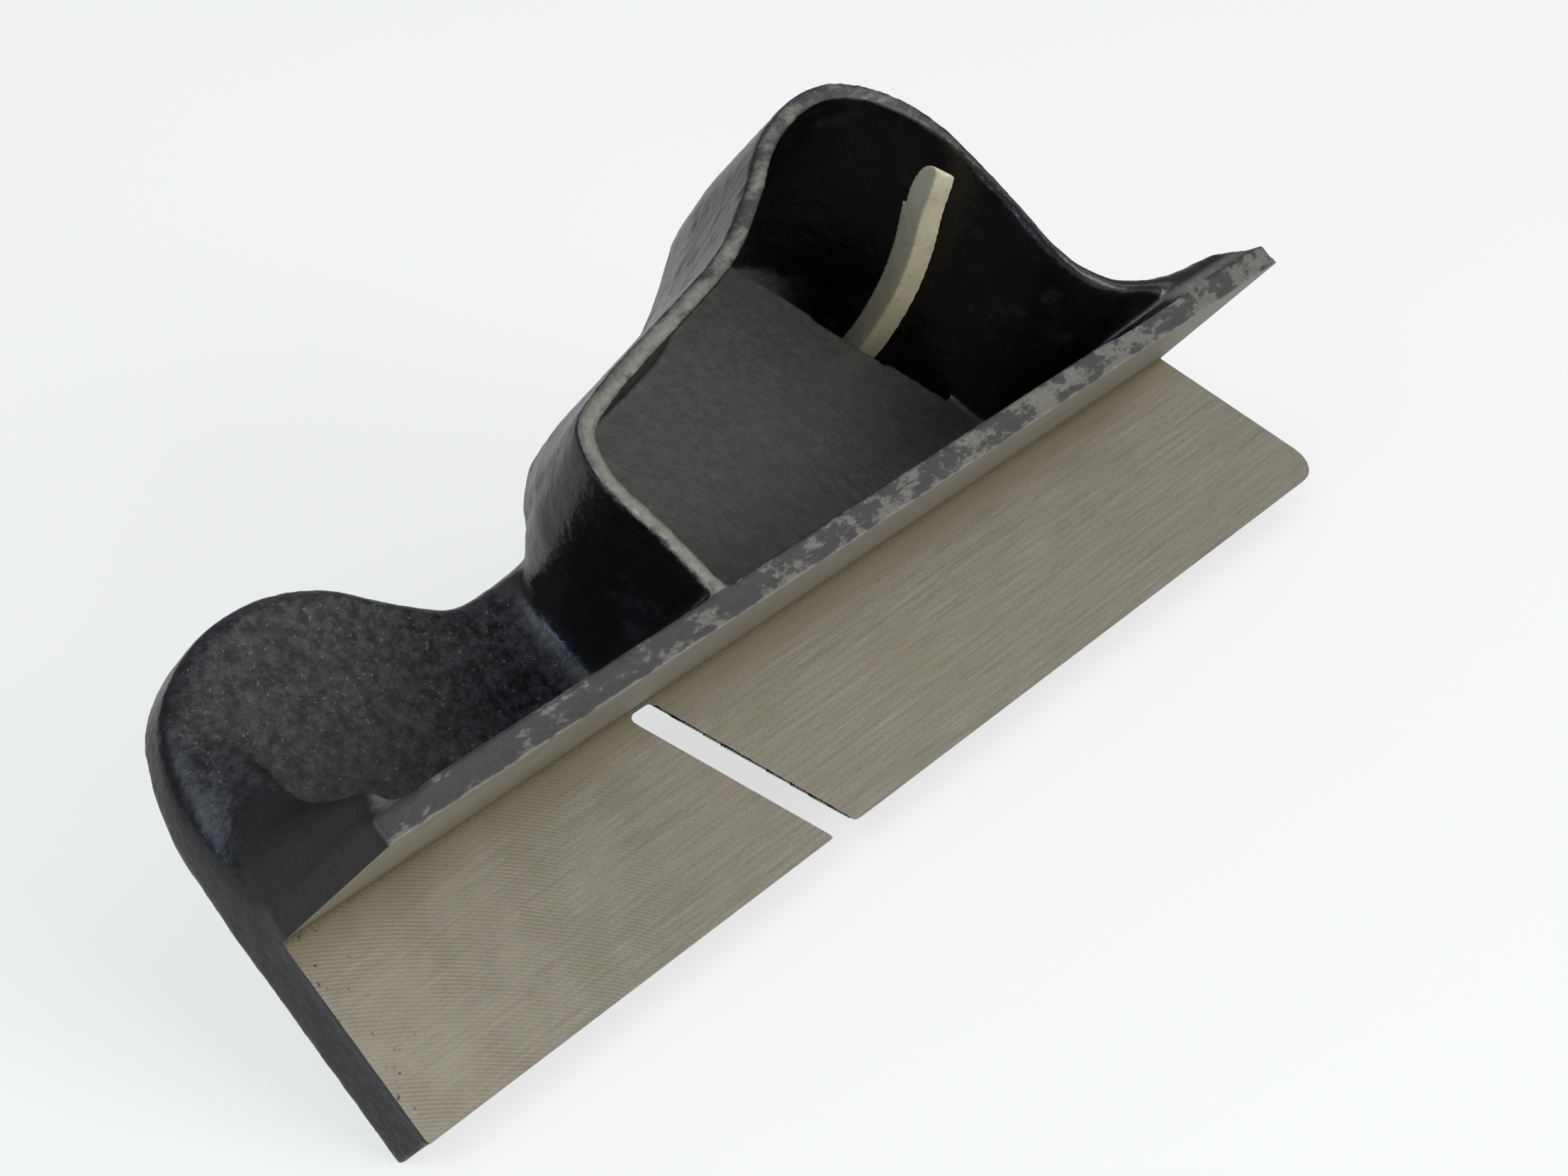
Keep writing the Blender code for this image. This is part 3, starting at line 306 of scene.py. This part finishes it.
def worked_metal(name, tones, rough, grain_mm, grain_turn, stain_share, metallic=1.0):
    """A worked metal in a bright, a dull and a stained tone: grain from its last tool, a dull film
    in patches of about 3 mm, and stains of 1 mm."""
    bright, dull, stain = (colour(tone) for tone in tones)
    material, add = new_material(name)
    place = add("TexCoord", output="Object")
    body = add("Mapping", inputs={"Vector": place, **BODY_MAPPING}, vector_type='TEXTURE')
    turned = add("Mapping", inputs={
        "Vector": body, "Rotation": grain_turn,
        "Scale": (0.08 / grain_mm, 1.0 / grain_mm, 1.0 / grain_mm)})
    grain = add("TexNoise", inputs={"Vector": turned, "Scale": 1.0, "Detail": 4.0,
                                    "Roughness": 0.65})
    film = add("TexNoise", inputs={"Vector": body, "Scale": 0.30, "Detail": 5.0,
                                   "Roughness": 0.6})
    spots = add("TexNoise", inputs={"Vector": body, "Scale": 0.85, "Detail": 6.0,
                                    "Roughness": 0.7})
    share = add("MapRange", spots, 0.52, 0.75, 0.0, stain_share)
    base = add("Mix", inputs={0: film, 6: bright, 7: dull}, **COLOURS)
    base = add("Mix", inputs={0: share, 6: base, 7: stain}, **COLOURS)
    roughness = add("Math", grain, 0.16, rough, operation='MULTIPLY_ADD')
    roughness = add("Math", share, 0.25, roughness, operation='MULTIPLY_ADD')
    bump = add("Bump", inputs={"Height": grain, "Strength": 0.22, "Distance": 0.00005})
    shader = add("BsdfPrincipled", inputs={"Base Color": base, "Roughness": roughness,
                                           "Normal": bump, "Metallic": metallic})
    add("OutputMaterial", shader)
    return material


JAPAN = japanned_iron()
GROUND = ground_iron()
# Nickel plate, dulled by age to a matt skin: pale olive grey with brown where the plate is thin
NICKEL = worked_metal("aged_nickel_plate", ("#f2ecd0", "#d6cda8", "#76634a"), rough=0.46,
                      grain_mm=0.25, grain_turn=(0, 0, 0.4), stain_share=0.5, metallic=0.28)
# Tool steel, surface ground: cool grey with fine straight grain and a few brown spots
STEEL = worked_metal("ground_tool_steel", ("#9b9a95", "#7f7e79", "#54483a"), rough=0.28,
                     grain_mm=0.20, grain_turn=(0, 0, 1.0), stain_share=0.55)
# Blued steel: dark blue-grey, worn brown
BLUED = worked_metal("blued_screw_steel", ("#3c424c", "#4d4a48", "#2a2320"), rough=0.32,
                     grain_mm=0.22, grain_turn=(0, 0, 0.2), stain_share=0.6)
# Brass, tarnished: dull yellow with brown in the flutes
BRASS = worked_metal("tarnished_brass", ("#b0945a", "#937845", "#4d3b20"), rough=0.30,
                     grain_mm=0.22, grain_turn=(0.6, 0, 0.2), stain_share=0.65)


# ---------------------------------------------------------------------------------------------
# Steps that all pieces share
# ---------------------------------------------------------------------------------------------
def select_only(piece):
    """Selects one piece and makes it the active one."""
    bpy.ops.object.select_all(action='DESELECT')
    piece.select_set(True)
    bpy.context.view_layer.objects.active = piece


def take_node(node, name):
    """A piece with the shape of a solid: its loose triangles merged into one closed skin."""
    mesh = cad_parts[node].data.copy()
    mesh.name = name
    mesh.materials.clear()
    piece = bpy.data.objects.new(name, mesh)
    scene.collection.objects.link(piece)
    select_only(piece)
    bpy.ops.object.mode_set(mode='EDIT')
    bpy.ops.mesh.select_all(action='SELECT')
    bpy.ops.mesh.remove_doubles(threshold=0.000002)
    bpy.ops.object.mode_set(mode='OBJECT')
    return piece


def apply_modifier(piece, kind, **settings):
    """Adds a modifier with its settings and applies it."""
    modifier = piece.modifiers.new(kind.lower(), kind)
    for name, value in settings.items():
        setattr(modifier, name, value)
    bpy.context.view_layer.objects.active = piece
    bpy.ops.object.modifier_apply(modifier=modifier.name)


def finish_piece(piece, node, body, slot, *materials, edge_angle=180.0):
    """Shades the piece, gives it its materials, and lets it stand for its solid and move with its
    body."""
    select_only(piece)
    bpy.ops.object.shade_smooth_by_angle(angle=math.radians(edge_angle))
    for material in materials:
        piece.data.materials.append(material)
    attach(piece, body)
    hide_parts(node)


# ---------------------------------------------------------------------------------------------
# Casting. Each of the next functions weighs a place on it, in the casting's frame, from 0 to 1
# ---------------------------------------------------------------------------------------------
def soft_step(value, low, high):
    """0 up to low and 1 from high, smooth between."""
    share = min(max((value - low) / (high - low), 0.0), 1.0)
    return share * share * (3 - 2 * share)


def near(place, centre, reach):
    """1 at a place near a centre, 0 beyond its reach along each axis, smooth between."""
    way = Vector([(place[axis] - centre[axis]) / reach[axis] for axis in range(3)]).length
    return 1.0 - soft_step(way, 0.60, 1.0)


def cast_skin(place):
    """1 on the skin left as cast, 0 on the ground faces, their edges and the mouth's walls."""
    skin = max(soft_step(place.y, 0.4, 1.2), soft_step(-place.z, 0.4, 1.2))
    into_mouth = place.x - MOUTH_FROM_TOE + place.y * MOUTH_LEAN
    off_mouth = soft_step(max(-into_mouth, into_mouth - MOUTH_LENGTH), 0.8, 2.0)
    return skin * max(off_mouth, soft_step(place.y, 0.6, 1.4))


def toe_fillets(place):
    """The corners of the web at the toe that the pattern maker filled."""
    web = near(place, (7.0, 11.0, 2.0), (12.0, 16.0, 14.0))
    fence_end = near(place, (4.0, 5.0, 16.0), (7.0, 5.0, 12.0))
    return max(web, fence_end) * cast_skin(place)


def grip_foot(place):
    """The broad hollow fillet where the grip's nose stands on the finger rest."""
    return near(place, (45.0, 10.5, 1.0), (12.0, 12.5, 12.0)) * cast_skin(place)


def worn_rims(place):
    """The rims that hands and benches have rounded: round the hollow, and the fence's ends."""
    rim = soft_step(place.z, 18.5, 20.5) * soft_step(place.y, 3.4, 5.0)
    end = max(soft_step(place.x, 148.0, 151.0), soft_step(-place.x, -3.5, -1.0))
    return max(rim, soft_step(place.z, 19.0, 22.0) * end)


def heel_lip(place):
    """The grip's lip at the heel, which thins out to a round edge."""
    along = soft_step(place.x, 117.0, 125.0) * (1.0 - 0.8 * soft_step(place.x, 137.0, 143.0))
    return along * soft_step(place.y, 2.7, 3.4) * soft_step(place.z, 11.0, 15.0)


# How many rounds each of them is smoothed for
SMOOTHING = {cast_skin: 6, toe_fillets: 70, grip_foot: 240, worn_rims: 16, heel_lip: 300}

# Corners of the wedge in the toe corner, by whether they lie back from the toe, far from the
# fence, and high
WEDGE = {(False, False, False): (0.02, 3.1, -1.0), (False, True, False): (1.3, 9.0, -1.0),
         (False, False, True): (0.02, 3.1, 21.8), (False, True, True): (3.2, 4.6, 21.8),
         (True, False, False): (3.0, 2.0, -1.0), (True, True, False): (3.0, 9.0, -1.0),
         (True, False, True): (3.0, 2.0, 21.8), (True, True, True): (3.5, 4.4, 21.8)}


def weigh(piece, weight_at):
    """A vertex group, named for the function that weighs each vertex's place."""
    vertices = piece.vertex_groups.new(name=weight_at.__name__)
    for vertex in piece.data.vertices:
        weight = weight_at(WORLD_TO_BODY @ vertex.co / MM)
        if weight > 0:
            vertices.add([vertex.index], weight, 'REPLACE')


def leave_for_grinding(piece, facing, flat_axis):
    """Thickens a face of the casting, as a founder does where metal will be ground away."""
    select_only(piece)
    bpy.ops.object.mode_set(mode='EDIT')
    bpy.ops.mesh.select_mode(type='FACE')
    bpy.ops.mesh.select_all(action='DESELECT')
    bpy.ops.object.mode_set(mode='OBJECT')
    for face in piece.data.polygons:
        place = WORLD_TO_BODY @ face.center
        on_face = face.normal.dot(facing) > SAME_WAY and abs(place[flat_axis]) < 0.02 * MM
        in_mouth = place.z < -0.02 * MM
        face.select = on_face and not in_mouth
    bpy.ops.object.mode_set(mode='EDIT')
    bpy.ops.mesh.duplicate()
    bpy.ops.transform.translate(value=facing * -ALLOWANCE_ROOT * MM)
    growth = facing * (ALLOWANCE_ROOT + ALLOWANCE) * MM
    bpy.ops.mesh.extrude_region_move(TRANSFORM_OT_translate={"value": growth})
    bpy.ops.object.mode_set(mode='OBJECT')


def fill_toe_corner(piece):
    """Joins on a wedge that fills the corner between the fence's toe end and the web."""
    bpy.ops.object.select_all(action='DESELECT')
    bpy.ops.mesh.primitive_cube_add(size=2.0)
    wedge = bpy.context.object
    for vertex in wedge.data.vertices:
        back, far, high = (side > 0 for side in vertex.co)
        vertex.co = BODY_TO_WORLD @ (Vector(WEDGE[back, far, high]) * MM)
    piece.select_set(True)
    bpy.context.view_layer.objects.active = piece
    bpy.ops.object.join()


def grind_flat(piece):
    """Takes the allowance off sole and fence with one square block, which leaves both faces flat
    and crisp, and gives them the ground finish."""
    bpy.ops.object.select_all(action='DESELECT')
    bpy.ops.mesh.primitive_cube_add(size=1.0)
    block = bpy.context.object
    block.matrix_world = (BODY_TO_WORLD @ Matrix.Translation((75 * MM, -20 * MM, 20 * MM))
                          @ Matrix.Diagonal((200 * MM, 40 * MM, 40 * MM, 1)))
    apply_modifier(piece, 'BOOLEAN', operation='DIFFERENCE', object=block, solver='EXACT')
    bpy.data.objects.remove(block)
    for face in piece.data.polygons:
        place = WORLD_TO_BODY @ face.center
        on_sole = face.normal.dot(OUT_OF_SOLE) > SAME_WAY and abs(place.z) < 0.01 * MM
        on_fence = face.normal.dot(OUT_OF_FENCE) > SAME_WAY and abs(place.y) < 0.01 * MM
        face.material_index = 1 if on_sole or on_fence else 0


def make_casting():
    """The casting: its solid softened as cast iron is, with the ground faces crisp."""
    piece = take_node("body_casting", "plane_casting")
    leave_for_grinding(piece, OUT_OF_SOLE, 2)
    leave_for_grinding(piece, OUT_OF_FENCE, 1)
    fill_toe_corner(piece)
    apply_modifier(piece, 'REMESH', mode='VOXEL', voxel_size=CASTING_VOXEL)
    for weight_at in SMOOTHING:
        weigh(piece, weight_at)
    for weight_at, rounds in SMOOTHING.items():
        apply_modifier(piece, 'SMOOTH', factor=0.5, iterations=rounds,
                       vertex_group=weight_at.__name__)
    sand = bpy.data.textures.new("moulding_sand", 'CLOUDS')
    sand.noise_scale = SAND_SIZE
    sand.noise_depth = 3
    apply_modifier(piece, 'DISPLACE', texture=sand, texture_coords='LOCAL', strength=SAND_DEPTH,
                   mid_level=1.0, vertex_group="cast_skin")
    triangles = 2 * len(piece.data.polygons)
    apply_modifier(piece, 'DECIMATE', ratio=CASTING_TRIANGLES / triangles)
    grind_flat(piece)
    finish_piece(piece, "body_casting", "casting", "japanned_iron", JAPAN, GROUND,
                 edge_angle=50.0)


# ---------------------------------------------------------------------------------------------
# Small pieces
# ---------------------------------------------------------------------------------------------
def make_small(node, name, body, slot, material, voxel, rounds, most_triangles):
    """A small piece: its solid with edges worn soft by some rounds of smoothing."""
    piece = take_node(node, name)
    apply_modifier(piece, 'REMESH', mode='VOXEL', voxel_size=voxel)
    apply_modifier(piece, 'SMOOTH', factor=0.5, iterations=rounds)
    share = most_triangles / (2 * len(piece.data.polygons))
    if share < 1:
        apply_modifier(piece, 'DECIMATE', ratio=share)
    finish_piece(piece, node, body, slot, material)


make_casting()
make_small("adjusting_lever", "nickel_lever", "adjuster", "nickel_plate", NICKEL,
           0.00020, 4, 40000)
make_small("cutter", "skew_iron", "blade", "tool_steel", STEEL, 0.00025, 1, 60000)
make_small("lever_cap", "clamping_cap", "cap", "nickel_plate", NICKEL, 0.00025, 4, 50000)
make_small("cap_thumb_screw", "fluted_thumb_screw", "thumb_screw", "brass", BRASS,
           0.00018, 2, 60000)
make_small("cap_fulcrum_screw", "slotted_fulcrum_screw", "casting", "blued_steel", BLUED,
           0.00016, 2, 20000)
make_small("lever_pivot_screw", "slotted_pivot_screw", "casting", "blued_steel", BLUED,
           0.00012, 2, 16000)
make_small("lever_spring_washer", "spring_washer", "casting", "tool_steel", STEEL,
           0.00010, 2, 12000)
make_small("lever_drive_pin", "drive_pin", "adjuster", "blued_steel", BLUED, 0.00010, 2, 8000)


# ---------------------------------------------------------------------------------------------
# Stage
# ---------------------------------------------------------------------------------------------
FLOOR_GLOW = 0.68        # with the lamps' light, white to the camera
GLOW_IN_GLOSS = 0.5      # share of it that gloss shows
LAMP_AIM = Vector((0.0, 0.0, 0.03))
# Place in m, side in m, power in W and tint of each soft square lamp
LAMPS = {"front_soft_box": ((0.06, -0.92, 0.34), 0.60, 5.3, "#fffdf6"),
         "high_soft_box": ((0.62, -0.48, 0.66), 0.60, 1.4, "#fffaf2"),
         "window": ((-0.66, -0.12, 0.66), 0.42, 2.0, "#e6edf8"),
         "low_window": ((-0.95, -0.10, 0.19), 0.20, 1.1, "#c4dcff")}


def make_floor():
    """A pale table top, white to the camera and half as bright in gloss, that keeps the shadow."""
    bpy.ops.object.select_all(action='DESELECT')
    bpy.ops.mesh.primitive_grid_add(x_subdivisions=4, y_subdivisions=4, size=6.0)
    floor = bpy.context.object
    floor.name = "table_top"
    material, add = new_material("white_table_top")
    seen = add("Math", add("LightPath", output="Is Glossy Ray"), GLOW_IN_GLOSS,
               add("LightPath", output="Is Camera Ray"), operation='MULTIPLY_ADD')
    shader = add("BsdfPrincipled", inputs={
        "Base Color": colour("#b4b6b8"), "Roughness": 0.6, "Specular IOR Level": 0.1,
        "Emission Color": colour("#f8f9f8"),
        "Emission Strength": add("Math", seen, FLOOR_GLOW, operation='MULTIPLY')})
    add("OutputMaterial", shader)
    floor.data.materials.append(material)


def add_lamp(name, place, side, power, tint):
    """A soft square lamp that points at the plane."""
    bpy.ops.object.light_add(type='AREA', location=place)
    lamp = bpy.context.object
    lamp.name = name
    lamp.rotation_euler = (LAMP_AIM - Vector(place)).to_track_quat('-Z', 'Y').to_euler()
    lamp.data.size = side
    lamp.data.energy = power
    lamp.data.color = colour(tint)[:3]


make_floor()
for lamp_name, lamp_settings in LAMPS.items():
    add_lamp(lamp_name, *lamp_settings)
world = bpy.data.worlds.new("room")
world.use_nodes = True
room_light = world.node_tree.nodes["Background"].inputs
room_light["Color"].default_value = colour("#e6e9ee")
room_light["Strength"].default_value = 0.30
scene.world = world
scene.view_settings.view_transform = 'Standard'
